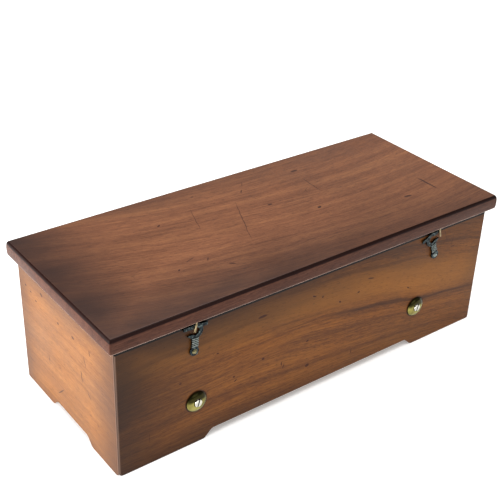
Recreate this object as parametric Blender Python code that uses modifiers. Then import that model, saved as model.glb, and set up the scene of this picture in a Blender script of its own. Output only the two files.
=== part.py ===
"""A wind up music box: a cylinder movement on a brass bedplate, inside a long hardwood case.

Metres, +Z up. The origin is the middle of the base, +X is to the right and -Y is the front.
Moving pieces hang from an empty that stands on their joint's axis.
"""
import math

import bmesh
import bpy
from mathutils import Matrix, Vector

# ---------------------------------------------------------------- driving dimensions
GAP = 0.0003  # between pieces that touch or run in each other
OVERCUT = 0.001  # how far a cutter stands out of what it cuts

# case
LENGTH = 0.450
DEPTH = 0.181
BODY_TOP = 0.138
BOARD = 0.012
CORNER_RADIUS = 0.003
FOOT_CORNER_RADIUS = 0.005
FRONT_FOOT = 0.0895
END_FOOT = 0.0505
ARCH_HEIGHT = 0.0085
ARCH_OGEE = 0.0125
END_ARCH_SHIFT = 0.0045  # the end boards' arches sit a little towards the front
FLOOR_LOW = 0.013
FLOOR_HIGH = 0.021
PARTITION_TOP = 0.132
LEFT_PARTITION_X = -0.172
RIGHT_PARTITION_X = 0.172
PARTITION = 0.008

# lid
LID = 0.016
LID_LENGTH = 0.463
LID_DEPTH = 0.194
LID_EDGE_RADIUS = 0.005
LID_LOW = BODY_TOP + GAP

# hinges
HINGE_X = 0.140
HINGE_WIDTH = 0.040
HINGE_Y = DEPTH / 2 + 0.0035
KNUCKLE_RADIUS = 0.0025
HINGE_PIN_RADIUS = 0.001
LEAF_DEPTH = 0.011
LEAF = 0.0015  # from the hinge's axis to a leaf's outer face

# hooks, each on a pivot screw in the front board
HOOK_X = (-0.146, 0.151)
HOOK_Z = 0.1067
HOOK_LEAN = (-3.0, 19.0)  # degrees, positive leans the head to the left
HOOK_BACK = -DEPTH / 2 - 0.0005
HOOK_PLATE = 0.0016
HOOK_EYE_RADIUS = 0.0016
PIVOT_SCREW_RADIUS = 0.0013
PIVOT_HOLE_DEPTH = 0.009

# case screws through cup washers
CASE_SCREW_X = (-0.1428, 0.133)
CASE_SCREW_Z = 0.0485
CUP_RADIUS = 0.01075
CUP_RISE = 0.0032
SCREW_HEAD_RADIUS = 0.004
SCREW_RADIUS = 0.002
SLOT_LEAN = 17.0

# movement
BED_LOW = 0.0445
BED_HIGH = 0.0525
BED_X = (-0.166, 0.165)
BED_Y = (-0.058, 0.060)
STAND = BED_HIGH + GAP  # where the pieces on the bedplate stand
AXIS_Z = 0.0845
CYLINDER_Y = 0.005
CYLINDER_RADIUS = 0.026
CYLINDER_X = (-0.095, 0.100)
BARREL_Y = 0.041
BARREL_RADIUS = 0.027

# gear train
GREAT_TEETH = 60
PINION_TEETH = 12
DRIVE_MODULE = 0.001
WHEEL_TEETH = 60
GOVERNOR_TEETH = 12
WORM_WHEEL_TEETH = 24
FINE_MODULE = 0.0008
WORM_RADIUS = 0.004
GOVERNOR_Y = 0.030
GOVERNOR_X = 0.125

TURN = {  # local X, Y and Z of a flat or turned piece, as world directions
    "up": ((1, 0, 0), (0, 1, 0), (0, 0, 1)),
    "right": ((0, 1, 0), (0, 0, 1), (1, 0, 0)),
    "front": ((1, 0, 0), (0, 0, 1), (0, -1, 0)),
    "back": ((-1, 0, 0), (0, 0, 1), (0, 1, 0)),
}


# ---------------------------------------------------------------- scene and materials
def clear_scene():
    for old in list(bpy.data.objects):
        bpy.data.objects.remove(old, do_unlink=True)


def make_collection(name):
    group = bpy.data.collections.new(name)
    bpy.context.scene.collection.children.link(group)
    return group


def make_material(name, colour, roughness, metallic=0.0):
    finish = bpy.data.materials.new(name)
    finish.use_nodes = True
    shader = finish.node_tree.nodes["Principled BSDF"]
    shader.inputs["Base Color"].default_value = (*colour, 1.0)
    shader.inputs["Roughness"].default_value = roughness
    shader.inputs["Metallic"].default_value = metallic
    return finish


clear_scene()
PARTS = make_collection("wind_up_music_box")
CUTTERS = make_collection("cutters")
WOOD = make_material("stained hardwood", (0.19, 0.078, 0.036), 0.35)
PALE_WOOD = make_material("unstained wood", (0.42, 0.26, 0.14), 0.6)
BRASS = make_material("brass", (0.63, 0.45, 0.16), 0.3, 1.0)
STEEL = make_material("bright steel", (0.60, 0.60, 0.58), 0.25, 1.0)
BLUED = make_material("blued steel", (0.035, 0.045, 0.055), 0.4, 1.0)
PAPER = make_material("card", (0.78, 0.70, 0.53), 0.8)


# ---------------------------------------------------------------- modelling helpers
def add_object(name, data, finish=None, location=(0, 0, 0), turn="up"):
    piece = bpy.data.objects.new(name, data)
    PARTS.objects.link(piece)
    columns = Matrix(TURN[turn]).transposed()
    piece.matrix_world = Matrix.Translation(location) @ columns.to_4x4()
    if finish:
        data.materials.append(finish)
    return piece


def smooth(piece, angle=35):
    piece.data.shade_smooth()
    piece.data.set_sharp_from_angle(angle=math.radians(angle))
    return piece


def box(name, low, high, finish=None):
    size = Vector(high) - Vector(low)
    shape = bmesh.new()
    bmesh.ops.create_cube(shape, size=1.0)
    bmesh.ops.scale(shape, vec=size, verts=shape.verts)
    mesh = bpy.data.meshes.new(name)
    shape.to_mesh(mesh)
    shape.free()
    return add_object(name, mesh, finish, (Vector(low) + Vector(high)) / 2)


def rod(name, start, length, radius, turn, finish=None, sides=16):
    """A cylinder that starts at a point and runs along the turn's direction."""
    shape = bmesh.new()
    bmesh.ops.create_cone(
        shape, cap_ends=True, segments=sides, radius1=radius, radius2=radius, depth=length
    )
    bmesh.ops.translate(shape, vec=(0, 0, length / 2), verts=shape.verts)
    mesh = bpy.data.meshes.new(name)
    shape.to_mesh(mesh)
    shape.free()
    return smooth(add_object(name, mesh, finish, start, turn))


def turned(name, profile, start, turn, finish=None, steps=24, hollow=False):
    """A Screw of (radius, height) points, given down the outer side."""
    mesh = bpy.data.meshes.new(name)
    edges = [(i, i + 1) for i in range(len(profile) - 1)]
    if hollow:
        edges.append((len(profile) - 1, 0))
    mesh.from_pydata([(r, 0, z) for r, z in profile], edges, [])
    piece = add_object(name, mesh, finish, start, turn)
    screw = piece.modifiers.new("turn", "SCREW")
    screw.steps = steps
    screw.render_steps = steps
    screw.use_merge_vertices = True
    screw.merge_threshold = 0.00001
    return piece


def plate(name, outlines, thickness, start, turn, finish=None):
    """Closed outlines, the first with the others as holes, with a thickness from the start."""
    curve = bpy.data.curves.new(name, "CURVE")
    curve.dimensions = "2D"
    curve.fill_mode = "BOTH"
    curve.extrude = thickness / 2
    for outline in outlines:
        spline = curve.splines.new("POLY")
        spline.points.add(len(outline) - 1)
        for point, (u, v) in zip(spline.points, outline):
            point.co = (u, v, 0, 1)
        spline.use_cyclic_u = True
    flat = add_object(name + "_outline", curve, None, start, turn)
    flat.matrix_world = flat.matrix_world @ Matrix.Translation((0, 0, thickness / 2))
    return as_mesh(name, flat, finish)


def as_mesh(name, flat, finish):
    bpy.context.view_layer.update()
    ready = flat.evaluated_get(bpy.context.evaluated_depsgraph_get())
    mesh = bpy.data.meshes.new_from_object(ready)
    mesh.name = name
    shape = bmesh.new()
    shape.from_mesh(mesh)
    bmesh.ops.remove_doubles(shape, verts=shape.verts, dist=0.000001)
    shape.to_mesh(mesh)
    shape.free()
    piece = add_object(name, mesh, finish)
    piece.matrix_world = flat.matrix_world
    bpy.data.objects.remove(flat, do_unlink=True)
    return smooth(piece)


def wire(name, points, radius, finish):
    curve = bpy.data.curves.new(name, "CURVE")
    curve.dimensions = "3D"
    curve.bevel_depth = radius
    curve.bevel_resolution = 2
    curve.use_fill_caps = True
    spline = curve.splines.new("POLY")
    spline.points.add(len(points) - 1)
    for point, place in zip(spline.points, points):
        point.co = (*place, 1)
    return add_object(name, curve, finish)


def combine(piece, other, operation):
    step = piece.modifiers.new(operation.lower(), "BOOLEAN")
    step.operation = operation
    step.solver = "EXACT"
    step.object = other
    PARTS.objects.unlink(other)
    CUTTERS.objects.link(other)
    other.hide_render = True
    other.display_type = "WIRE"
    return piece


def cut(piece, cutter):
    return combine(piece, cutter, "DIFFERENCE")


def fuse(piece, other):
    return combine(piece, other, "UNION")


def meet(piece, other):
    return combine(piece, other, "INTERSECT")


def pivot(name, location):
    """An empty on a joint's axis."""
    empty = bpy.data.objects.new(name, None)
    empty.empty_display_size = 0.01
    PARTS.objects.link(empty)
    empty.matrix_world = Matrix.Translation(location)
    return empty


def hang(empty, *pieces):
    bpy.context.view_layer.update()
    for piece in pieces:
        piece.parent = empty
        piece.matrix_parent_inverse = empty.matrix_world.inverted()


# ---------------------------------------------------------------- outline helpers
def arc(u, v, radius, start, end, count):
    """Points on a circle from one angle to another, in degrees."""
    angles = [math.radians(start + (end - start) * i / count) for i in range(count + 1)]
    return [(u + radius * math.cos(a), v + radius * math.sin(a)) for a in angles]


def circle(u, v, radius, count=16):
    return arc(u, v, radius, 0, 360, count)[:-1]


def mirrored(points):
    """Right half of an outline, then its mirror image back to the start."""
    return points + [(-u, v) for u, v in reversed(points)]


def gear_outline(teeth, module, first_tooth, root=0.55, tip=0.20):
    """Straight-sided teeth. Root and tip are tooth widths, as shares of a pitch."""
    pitch_radius = teeth * module / 2
    tip_radius = pitch_radius + 0.85 * module
    root_radius = pitch_radius - 1.2 * module
    step = math.tau / teeth
    corners = ((root_radius, -root), (tip_radius, -tip), (tip_radius, tip), (root_radius, root))
    points = []
    for tooth in range(teeth):
        middle = math.radians(first_tooth) + tooth * step
        for radius, share in corners:
            angle = middle + share * step / 2
            points.append((radius * math.cos(angle), radius * math.sin(angle)))
    return points


def ratchet_outline(teeth, tip_radius, root_radius):
    points = []
    for tooth in range(teeth):
        angle = math.tau * tooth / teeth
        points.append((tip_radius * math.cos(angle), tip_radius * math.sin(angle)))
        points.append((root_radius * math.cos(angle), root_radius * math.sin(angle)))
    return points


# ---------------------------------------------------------------- case
def board_plan(half_length, half_depth):
    """A mitred board seen from above, its outer face at -half_depth, corners rounded."""
    inset = GAP / 2 * math.sqrt(2)
    lean = math.degrees(math.asin(GAP / 2 / CORNER_RADIUS))
    centre_u = half_length - CORNER_RADIUS
    centre_v = -half_depth + CORNER_RADIUS
    right = arc(centre_u, centre_v, CORNER_RADIUS, 270, 315 - lean, 4)
    right.append((half_length - BOARD - inset, -half_depth + BOARD))
    return mirrored(right)


def board_elevation(half_length, foot, shift):
    """A board seen from outside: two feet, an ogee arch between them, and a straight top."""
    arch_end = half_length - foot
    ogee = []
    for i in range(9):
        rise = ARCH_HEIGHT * (1 - math.cos(math.pi * i / 8)) / 2
        ogee.append((arch_end - ARCH_OGEE * i / 8, rise))
    corner = arc(half_length - FOOT_CORNER_RADIUS, FOOT_CORNER_RADIUS, FOOT_CORNER_RADIUS, 270, 360, 4)
    arch = [(-u + shift, v) for u, v in ogee] + [(u + shift, v) for u, v in reversed(ogee)]
    right = corner + [(half_length, BODY_TOP)]
    left = [(-u, v) for u, v in reversed(right)]
    return arch + right + left


def case_board(name, half_length, half_depth, foot, shift, quarter_turns):
    body = plate(name, [board_plan(half_length, half_depth)], BODY_TOP, (0, 0, 0), "up", WOOD)
    face = plate(
        name + "_face",
        [board_elevation(half_length, foot, shift)],
        2 * BOARD,
        (0, -half_depth + 1.5 * BOARD, 0),
        "front",
    )
    around = Matrix.Rotation(quarter_turns * math.pi / 2, 4, "Z")
    body.matrix_world = around @ body.matrix_world
    face.matrix_world = around @ face.matrix_world
    return meet(body, face)


def make_case():
    front = case_board("front_board", LENGTH / 2, DEPTH / 2, FRONT_FOOT, 0, 0)
    back = case_board("back_board", LENGTH / 2, DEPTH / 2, FRONT_FOOT, 0, 2)
    case_board("left_end_board", DEPTH / 2, LENGTH / 2, END_FOOT, END_ARCH_SHIFT, -1)
    case_board("right_end_board", DEPTH / 2, LENGTH / 2, END_FOOT, -END_ARCH_SHIFT, 1)
    for x in CASE_SCREW_X:
        for board, side in ((front, -1), (back, 1)):
            start = (x, side * (DEPTH / 2 + OVERCUT), CASE_SCREW_Z)
            hole = rod("case_screw_hole", start, BOARD + 2 * OVERCUT, SCREW_RADIUS + GAP,
                       "back" if side < 0 else "front", sides=12)
            cut(board, hole)
    for x in HOOK_X:
        start = (x, -DEPTH / 2 - OVERCUT, HOOK_Z)
        cut(front, rod("pivot_hole", start, PIVOT_HOLE_DEPTH, PIVOT_SCREW_RADIUS + GAP, "back", sides=12))
    for side in (-1, 1):
        mortise = box(
            "hinge_mortise",
            (side * HINGE_X - HINGE_WIDTH / 2 - GAP, DEPTH / 2 - LEAF_DEPTH, BODY_TOP - LEAF - GAP),
            (side * HINGE_X + HINGE_WIDTH / 2 + GAP, DEPTH / 2 + OVERCUT, BODY_TOP + OVERCUT),
        )
        cut(back, mortise)
    inner_x = LENGTH / 2 - BOARD - GAP
    inner_y = DEPTH / 2 - BOARD - GAP
    box("bottom_board", (-inner_x, -inner_y, FLOOR_LOW), (inner_x, inner_y, FLOOR_HIGH), PALE_WOOD)
    for name, x in (("left_partition", LEFT_PARTITION_X), ("right_partition", RIGHT_PARTITION_X)):
        wall = box(
            name,
            (x - PARTITION / 2, -inner_y, FLOOR_HIGH + GAP),
            (x + PARTITION / 2, inner_y, PARTITION_TOP),
            WOOD,
        )
        if x < 0:
            start = (x - PARTITION, BARREL_Y, AXIS_Z)
            cut(wall, rod("arbor_hole", start, 2 * PARTITION, 0.0055, "right"))


# ---------------------------------------------------------------- lid and hinges
def make_lid():
    half_x = LID_LENGTH / 2
    half_y = LID_DEPTH / 2
    lid = box("lid_board", (-half_x, -half_y, LID_LOW), (half_x, half_y, LID_LOW + LID), WOOD)
    round_over = lid.modifiers.new("bullnose", "BEVEL")
    round_over.width = LID_EDGE_RADIUS
    round_over.segments = 3
    smooth(lid)
    for side in (-1, 1):
        x = side * HINGE_X
        half = HINGE_WIDTH / 2 + GAP
        mortise = box("lid_mortise", (x - half, DEPTH / 2 - LEAF_DEPTH, LID_LOW - OVERCUT),
                      (x + half, HINGE_Y, LID_LOW + LEAF))
        cut(lid, mortise)
        relief = rod("knuckle_relief", (x - half - GAP, HINGE_Y, BODY_TOP), 2 * half + 2 * GAP,
                     KNUCKLE_RADIUS + 0.0006, "right")
        cut(lid, relief)
    card = box("tune_card", (-0.070, -0.045, BODY_TOP - 0.0006), (0.070, 0.045, BODY_TOP), PAPER)
    hang(pivot("lid_hinge", (0, HINGE_Y, BODY_TOP)), lid, card)


def knuckle(name, x, width, side, finish):
    """A hinge barrel with its neck, the neck below the pin for side -1 and above it for side 1."""
    barrel = arc(0, 0, KNUCKLE_RADIUS, 216.9, 544.6, 12)
    outline = [(-0.0035, -0.0015)] + barrel + [(-0.0035, -0.0002)]
    bore = circle(0, 0, HINGE_PIN_RADIUS + GAP, 12)
    if side > 0:
        outline = [(u, -v) for u, v in reversed(outline)]
    return plate(name, [outline, bore], width, (x, HINGE_Y, BODY_TOP), "right", finish)


def make_hinge(side_name, x):
    left = x - HINGE_WIDTH / 2
    third = HINGE_WIDTH / 3
    leaf_low = (left, DEPTH / 2 - LEAF_DEPTH + GAP, BODY_TOP - LEAF)
    leaf_high = (left + HINGE_WIDTH, DEPTH / 2 + 0.0005, BODY_TOP - 0.0002)
    case_leaf = box(f"hinge_{side_name}_case_leaf", leaf_low, leaf_high, BRASS)
    for start in (left, left + 2 * third + GAP / 2):
        fuse(case_leaf, knuckle("case_knuckle", start, third - GAP / 2, -1, BRASS))
    lid_low = (left, leaf_low[1], BODY_TOP + 0.0002)
    lid_high = (left + HINGE_WIDTH, leaf_high[1], BODY_TOP + LEAF)
    lid_leaf = box(f"hinge_{side_name}_lid_leaf", lid_low, lid_high, BRASS)
    fuse(lid_leaf, knuckle("lid_knuckle", left + third + GAP / 2, third - GAP, 1, BRASS))
    pin_start = (left - 0.0002, HINGE_Y, BODY_TOP)
    rod(f"hinge_{side_name}_pin", pin_start, HINGE_WIDTH + 0.0004, HINGE_PIN_RADIUS, "right", BRASS, 12)
    hang(pivot(f"hinge_{side_name}_axis", (x, HINGE_Y, BODY_TOP)), lid_leaf)


# ---------------------------------------------------------------- hooks and their catches
def hook_outline(mouth_side):
    """Tail disc, stem, ring open to one side, and a cross bar over the ring."""
    tail, stem, ring, eye, ring_v = 0.00475, 0.00325, 0.008, 0.004, 0.021
    bar_low, bar_high, bar_half = 0.02375, 0.02725, 0.0125
    points = arc(0, 0, tail, 46.8, -226.8, 12)
    points += arc(0, ring_v, ring, 246, 160, 6)
    points += [(-bar_half, bar_low), (-bar_half, bar_high)]
    points += arc(0, ring_v, ring, 128.6, 51.4, 4)
    points += [(bar_half, bar_high), (bar_half, bar_low)]
    points += arc(0, ring_v, eye, 43.4, 320, 12)
    points += [(0.0088, 0.0176)]
    points += arc(0, ring_v, ring, -38, -66, 2)
    if mouth_side < 0:
        points = [(-u, v) for u, v in reversed(points)]
    return [points, circle(0, 0, HOOK_EYE_RADIUS, 12)]


def make_hook(side_name, x, lean, mouth_side):
    start = (x, HOOK_BACK, HOOK_Z)
    hook = plate(f"latch_{side_name}_hook", hook_outline(mouth_side), HOOK_PLATE, start, "front", BLUED)
    about = Matrix.Translation(start) @ Matrix.Rotation(math.radians(-lean), 4, "Y")
    hook.matrix_world = about @ Matrix.Translation(-Vector(start)) @ hook.matrix_world
    hang(pivot(f"latch_{side_name}_axis", start), hook)

    dome = 0.0014
    face = HOOK_PLATE + 0.0005 + GAP
    shank = PIVOT_SCREW_RADIUS
    profile = [(0, face + dome), (0.0014, face + 0.8 * dome), (0.0026, face), (shank, face)]
    profile += [(shank, -0.006), (0, -0.007)]
    turned(f"latch_{side_name}_pivot_screw", profile, (x, -DEPTH / 2, HOOK_Z), "front", STEEL, 14)

    catch_x = x + 0.001
    catch_y = HOOK_BACK - HOOK_PLATE - 0.0012
    run = [(0, 0.004), (0, -0.003), (0.0012 * mouth_side, -0.008), (0.0016 * mouth_side, -0.0098)]
    places = [(catch_x + u, catch_y, BODY_TOP + v) for u, v in run]
    catch = wire(f"latch_{side_name}_lid_catch", places, 0.0009, BRASS)
    hang(bpy.data.objects["lid_hinge"], catch)
    hole = rod("catch_hole", (catch_x, catch_y, BODY_TOP - 0.001), 0.0055, 0.0012, "up", sides=12)
    cut(bpy.data.objects["lid_board"], hole)


# ---------------------------------------------------------------- case screws and cup washers
def make_case_screw(side_name, x, front):
    turn = "front" if front else "back"
    side = -1 if front else 1
    end = "front" if front else "rear"
    start = (x, side * (DEPTH / 2 + GAP), CASE_SCREW_Z)
    bore = SCREW_RADIUS + GAP
    well = SCREW_HEAD_RADIUS + GAP
    dome = [(well, CUP_RISE - 0.0003), (well + 0.0006, CUP_RISE)]
    for i in range(1, 4):
        angle = math.radians(90 * i / 4)
        reach = CUP_RADIUS - well - 0.0006
        dome.append((well + 0.0006 + reach * math.sin(angle), 0.0005 + (CUP_RISE - 0.0005) * math.cos(angle)))
    profile = dome + [(CUP_RADIUS, 0.0005), (CUP_RADIUS, 0), (bore, 0), (bore, 0.0012), (well, 0.0014)]
    smooth(turned(f"cup_{end}_{side_name}", profile, start, turn, BRASS, 22, hollow=True))

    top = 0.0040
    shank_end = -0.0255
    head = [(0, top), (SCREW_HEAD_RADIUS - 0.0005, top), (SCREW_HEAD_RADIUS, top - 0.0005)]
    head += [(SCREW_HEAD_RADIUS, 0.0018), (SCREW_RADIUS, 0.0018), (SCREW_RADIUS, shank_end), (0, shank_end)]
    screw = turned(f"case_screw_{end}_{side_name}", head, start, turn, STEEL, 14)
    slot = box("slot", (-0.0005, -0.006, top - 0.001), (0.0005, 0.006, top + 0.001))
    lean = Matrix.Rotation(math.radians(-SLOT_LEAN), 4, "Z")
    slot.matrix_world = screw.matrix_world @ lean @ Matrix.Translation((0, 0, top))
    cut(screw, slot)


# ---------------------------------------------------------------- bedplate and comb
def make_bedplate():
    lug = 0.009
    lug_end = DEPTH / 2 - BOARD - GAP
    relief = 0.0005  # the lugs are a little thinner than the plate
    bed = box("bedplate", (BED_X[0], BED_Y[0], BED_LOW), (BED_X[1], BED_Y[1], BED_HIGH), BRASS)
    for x in CASE_SCREW_X:
        fuse(bed, box("lugs", (x - lug, -lug_end, BED_LOW + relief), (x + lug, lug_end, BED_HIGH - relief)))
    for x in CASE_SCREW_X:
        for side, turn in ((-1, "back"), (1, "front")):
            start = (x, side * (lug_end + 0.001), CASE_SCREW_Z)
            cut(bed, rod("lug_hole", start, 0.0155, SCREW_RADIUS + GAP, turn, sides=10))


def make_comb():
    teeth = 60
    left, right = -0.090, 0.095
    tip_y, root_y, back_y = -0.0216, -0.047, -0.062
    comb_low, comb_thick = 0.0835, 0.002
    pitch = (right - left) / teeth
    slot = 0.0008
    outline = [(left, back_y), (right, back_y)]
    for tooth in reversed(range(teeth)):
        start = left + tooth * pitch
        outline += [(start + pitch - slot / 2, root_y), (start + pitch - slot / 2, tip_y)]
        outline += [(start + slot / 2, tip_y), (start + slot / 2, root_y)]
    screw_x = (left + 0.030, right - 0.030)
    screw_y = (back_y + root_y) / 2
    holes = [circle(x, screw_y, SCREW_RADIUS + GAP, 12) for x in screw_x]
    plate("comb", [outline] + holes, comb_thick, (0, 0, comb_low), "up", STEEL)

    base = box(
        "comb_base",
        (left, back_y, STAND),
        (right, root_y - 0.001, comb_low - GAP),
        BRASS,
    )
    top = comb_low + comb_thick + GAP
    for number, x in enumerate(screw_x, 1):
        cut(base, rod("comb_screw_hole", (x, screw_y, 0.070), 0.02, SCREW_RADIUS + GAP, "up", sides=12))
        profile = [(0, top + 0.002), (0.0032, top + 0.002), (0.0036, top + 0.0014), (0.0036, top)]
        profile += [(SCREW_RADIUS, top), (SCREW_RADIUS, 0.0705), (0, 0.0705)]
        turned(f"comb_screw_{number}", profile, (x, screw_y, 0), "up", STEEL, 16)


# ---------------------------------------------------------------- cocks
def cock(name, y, start_x, width, foot, upright, bore, finish=BRASS):
    """A bearing post on the bedplate: a foot, an upright with a round head, and a bore."""
    foot_left, foot_right = foot
    foot_top = STAND + 0.0045
    outline = [(foot_left, STAND), (foot_right, STAND), (foot_right, foot_top)]
    outline += [(y + upright, foot_top)]
    outline += arc(y, AXIS_Z, upright, 0, 180, 8)
    outline += [(y - upright, foot_top), (foot_left, foot_top)]
    return plate(name, [outline, circle(y, AXIS_Z, bore, 16)], width, (start_x, 0, 0), "right", finish)


# ---------------------------------------------------------------- cylinder
def make_cylinder():
    axis = (0, CYLINDER_Y, AXIS_Z)
    left, right = CYLINDER_X
    arbor, wall, disc = 0.003, 0.002, 0.003
    bore = arbor + GAP
    inner = CYLINDER_RADIUS - wall
    profile = [(CYLINDER_RADIUS, right), (CYLINDER_RADIUS, left), (bore, left), (bore, left + disc)]
    profile += [(inner, left + disc), (inner, right)]
    cylinder = smooth(turned("cylinder", profile, axis, "right", BRASS, 32, hollow=True))

    low, high, journal, collar = -0.1245, 0.1175, 0.002, 0.0005
    profile = [(0, high), (journal, high), (journal, 0.1105 - collar), (arbor, 0.1105 - collar)]
    profile += [(arbor, -0.117 + collar), (journal, -0.117 + collar), (journal, low), (0, low)]
    shaft = smooth(turned("cylinder_arbor", profile, axis, "right", STEEL, 16))
    leaves = gear_outline(PINION_TEETH, DRIVE_MODULE, 0, 0.46, 0.22)
    fuse(shaft, plate("pinion", [leaves], 0.006, (-0.112, CYLINDER_Y, AXIS_Z), "right"))

    reach = math.degrees(math.atan2(governor_z() - AXIS_Z, GOVERNOR_Y - CYLINDER_Y))
    rim = gear_outline(WHEEL_TEETH, FINE_MODULE, reach)
    wheel = plate("cylinder_wheel", [rim, circle(0, 0, bore, 16)], 0.004,
                  (0.104, CYLINDER_Y, AXIS_Z), "right", BRASS)
    hang(pivot("cylinder_axis", axis), cylinder, shaft, wheel)
    cock("cylinder_cock_left", CYLINDER_Y, -0.124, 0.007, (-0.014, 0.012), 0.007, journal + GAP)
    cock("cylinder_cock_right", CYLINDER_Y, 0.1105, 0.007, (-0.012, 0.020), 0.008, journal + GAP)


# ---------------------------------------------------------------- spring barrel and winding work
def spiral_outline(inner, outer, turns, thickness):
    """Both faces of a flat spring, out along one and back along the other."""
    count = int(turns * 12)
    out, back = [], []
    for i in range(count + 1):
        angle = math.tau * turns * i / count
        radius = inner + (outer - inner) * i / count
        out.append(((radius + thickness) * math.cos(angle), (radius + thickness) * math.sin(angle)))
        back.append((radius * math.cos(angle), radius * math.sin(angle)))
    return out + back[::-1]


def make_barrel():
    axis = (0, BARREL_Y, AXIS_Z)
    arbor = 0.004
    bore = arbor + GAP
    left, right, floor = -0.160, -0.1125, 0.0017
    inner = BARREL_RADIUS - 0.002
    profile = [(BARREL_RADIUS, right), (BARREL_RADIUS, left), (inner, left), (inner, right - floor)]
    profile += [(bore, right - floor), (bore, right)]
    drum = smooth(turned("barrel_drum", profile, axis, "right", BRASS, 32, hollow=True))
    cover_rim = circle(0, 0, inner - GAP, 32)
    cover = plate("barrel_cover", [cover_rim, circle(0, 0, bore, 16)], 0.0017,
                  (left, BARREL_Y, AXIS_Z), "right", BRASS)
    rim = gear_outline(GREAT_TEETH, DRIVE_MODULE, 180 + 180 / GREAT_TEETH)
    great = plate("barrel_great_wheel", [rim, circle(0, 0, bore, 16)], 0.005,
                  (-0.112, BARREL_Y, AXIS_Z), "right", BRASS)
    band = spiral_outline(0.008, 0.0235, 4, 0.0012)
    spring = plate("mainspring", [band], 0.036, (-0.156, BARREL_Y, AXIS_Z), "right", BLUED)
    hang(pivot("barrel_axis", axis), drum, cover, great, spring)

    shaft = rod("barrel_arbor", (-0.205, BARREL_Y, AXIS_Z), 0.107, arbor, "right", STEEL, 16)
    teeth = ratchet_outline(24, 0.017, 0.0147)
    ratchet = plate("ratchet_wheel", [teeth, circle(0, 0, bore, 16)], 0.003,
                    (-0.1825, BARREL_Y, AXIS_Z), "right", STEEL)
    hang(pivot("winding_axis", axis), shaft, ratchet)
    cock("barrel_cock_left", BARREL_Y, -0.1655, 0.0042, (BARREL_Y - 0.013, BARREL_Y + 0.013), 0.008, bore)
    cock("barrel_cock_right", BARREL_Y, -0.103, 0.0045, (BARREL_Y - 0.005, BARREL_Y + 0.013), 0.008, bore)


def finger(pivot_at, tip, disc, tip_half):
    """A tapered bar from a disc on its pivot to a blunt tip."""
    along = Vector(tip) - Vector(pivot_at)
    angle = math.degrees(math.atan2(along.y, along.x))
    across = Vector((-along.y, along.x)).normalized() * tip_half
    points = arc(pivot_at[0], pivot_at[1], disc, angle + 60, angle + 300, 10)
    points += [tuple(Vector(tip) - across), tuple(Vector(tip) + across)]
    return points


def make_winding():
    rest = math.radians(205)
    arm = 0.085
    hub, bore = 0.009, 0.0043
    end = (BARREL_Y + arm * math.cos(rest), AXIS_Z + arm * math.sin(rest))
    outline = finger((BARREL_Y, AXIS_Z), end, hub, 0.004)
    lever = plate("winding_lever", [outline, circle(BARREL_Y, AXIS_Z, bore, 16)], 0.004,
                  (-0.190, 0, 0), "right", STEEL)
    grip = (end[0] - 0.006 * math.cos(rest), end[1] - 0.006 * math.sin(rest))
    profile = [(0, 0.0165), (0.004, 0.0165), (0.006, 0.0145), (0.0065, 0.010), (0.0045, 0.004)]
    profile += [(0.0035, GAP), (0, GAP)]
    knob = smooth(turned("lever_knob", profile, (0, 0, 0), "up", WOOD, 18))
    outward = Matrix(((0, 0, -1), (1, 0, 0), (0, -1, 0))).to_4x4()
    knob.matrix_world = Matrix.Translation((-0.190, *grip)) @ outward

    centre = Vector((BARREL_Y, AXIS_Z))
    tooth_reach = 0.0174
    pawl_pivot = (BARREL_Y + 0.030 * math.cos(rest), AXIS_Z + 0.030 * math.sin(rest))
    pawl_tip = centre + tooth_reach * Vector((math.cos(math.radians(165)), math.sin(math.radians(165))))
    pawl = plate("lever_pawl", [finger(pawl_pivot, pawl_tip, 0.0035, 0.0006)], 0.003,
                 (-0.1825, 0, 0), "right", STEEL)
    fuse(pawl, rod("pawl_stud", (-0.1857, *pawl_pivot), 0.0047, 0.002, "right", sides=12))
    pawl_axis = pivot("pawl_axis", (-0.184, *pawl_pivot))
    hang(pawl_axis, pawl)
    lever_axis = pivot("lever_axis", (-0.188, BARREL_Y, AXIS_Z))
    hang(lever_axis, lever, knob, pawl_axis)

    click_pivot = (0.066, 0.104)
    click_tip = centre + tooth_reach * Vector((math.cos(math.radians(60)), math.sin(math.radians(60))))
    click = plate("holding_click", [finger(click_pivot, click_tip, 0.004, 0.0006)], 0.003,
                  (-0.1825, 0, 0), "right", STEEL)
    stud_start = (-0.181, *click_pivot)
    stud_length = LEFT_PARTITION_X - PARTITION / 2 - GAP - stud_start[0]
    fuse(click, rod("click_stud", stud_start, stud_length, 0.002, "right", sides=12))
    hang(pivot("click_axis", (-0.181, *click_pivot)), click)


# ---------------------------------------------------------------- governor
def governor_z():
    """Height of the governor arbor, which meshes with the cylinder wheel."""
    reach = (WHEEL_TEETH + GOVERNOR_TEETH) * FINE_MODULE / 2
    across = GOVERNOR_Y - CYLINDER_Y
    return AXIS_Z - math.sqrt(reach ** 2 - across ** 2)


def thread_radius(angle, root, crest):
    """Radius of a single-start worm's cross-section, its crest at angle 0."""
    away = abs((angle + math.pi) % math.tau - math.pi) / math.pi
    share = min(max((0.46 - away) / 0.26, 0), 1)
    return root + (crest - root) * share


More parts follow.
